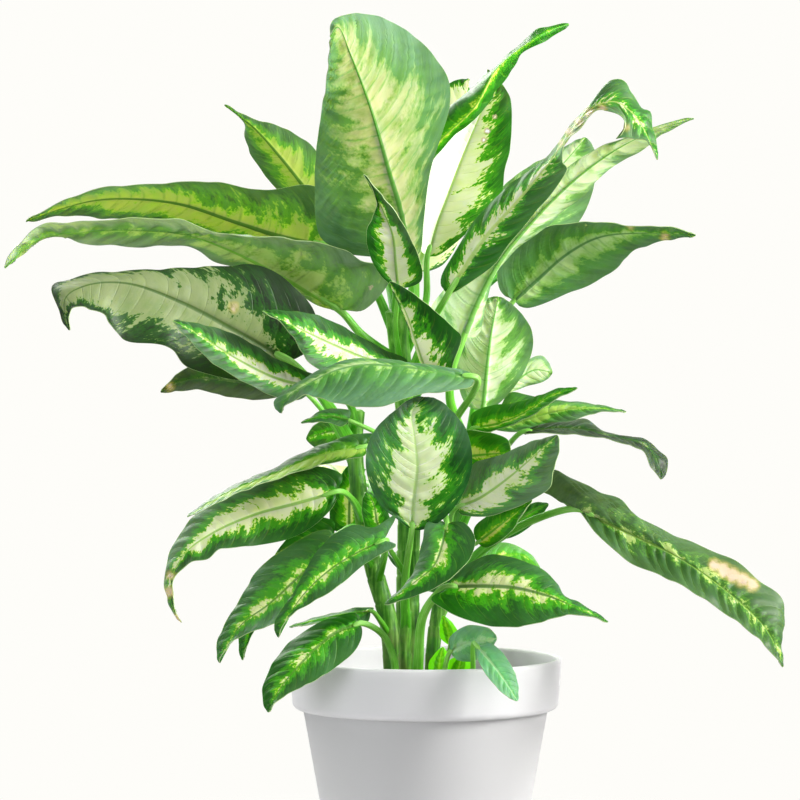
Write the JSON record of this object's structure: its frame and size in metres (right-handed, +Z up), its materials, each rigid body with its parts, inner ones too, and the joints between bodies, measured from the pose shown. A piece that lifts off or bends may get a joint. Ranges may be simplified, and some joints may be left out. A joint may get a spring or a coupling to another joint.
{
  "type": "potted plant",
  "caption": "Bushy dumb cane with long pointed leaves, cream in the middle and dark green at the margins, in a plain pale pot with a collar.",
  "frame": {"origin": "centre of the pot's underside", "axes": "+Z up through the plant, +X to the right and +Y away from the viewer in the pictured view"},
  "size_m": [0.5575, 0.3796, 0.6587],
  "materials": {
    "pot": "satin",
    "soil": "matte",
    "cane": "satin",
    "leaf_top": "satin",
    "leaf_under": "matte"
  },
  "bodies": {
    "root": {"pot": "pot", "soil": "soil", "cane_tall": "cane", "cane_left": "cane", "cane_front": "cane", "cane_right": "cane", "leaf_01": "leaf_under", "leaf_02": "leaf_top", "leaf_03": "leaf_top", "leaf_04": "leaf_under", "leaf_05": "leaf_under", "leaf_06": "leaf_under", "leaf_07": "leaf_top", "leaf_08": "leaf_under", "leaf_09": "leaf_top", "leaf_10": "leaf_top", "leaf_11": "leaf_top", "leaf_12": "leaf_top", "leaf_13": "leaf_top", "leaf_14": "leaf_top", "leaf_15": "leaf_under", "leaf_16": "leaf_under", "leaf_17": "leaf_top", "leaf_18": "leaf_under", "leaf_19": "leaf_top", "leaf_20": "leaf_top", "leaf_21": "leaf_top", "leaf_22": "leaf_top", "leaf_23": "leaf_top", "leaf_24": "leaf_top", "leaf_25": "leaf_top", "leaf_26": "leaf_top", "leaf_27": "leaf_top", "leaf_28": "leaf_top", "leaf_29": "leaf_top", "leaf_30": "leaf_top", "leaf_31": "leaf_top", "leaf_32": "leaf_top", "leaf_33": "leaf_top", "leaf_34": "leaf_top", "leaf_35": "leaf_top", "leaf_36": "leaf_top", "leaf_37": "leaf_under", "leaf_38": "leaf_top", "leaf_39": "leaf_top", "leaf_40": "leaf_under", "leaf_41": "leaf_top", "leaf_42": "leaf_top", "leaf_43": "leaf_under", "leaf_44": "leaf_top", "sprout_01": "leaf_top", "sprout_02": "leaf_top", "sprout_03": "leaf_top", "back_01": "leaf_top", "back_02": "leaf_top", "back_03": "leaf_top", "back_04": "leaf_top", "back_05": "leaf_top", "back_06": "leaf_top", "back_07": "leaf_top"}
  },
  "joints": []
}
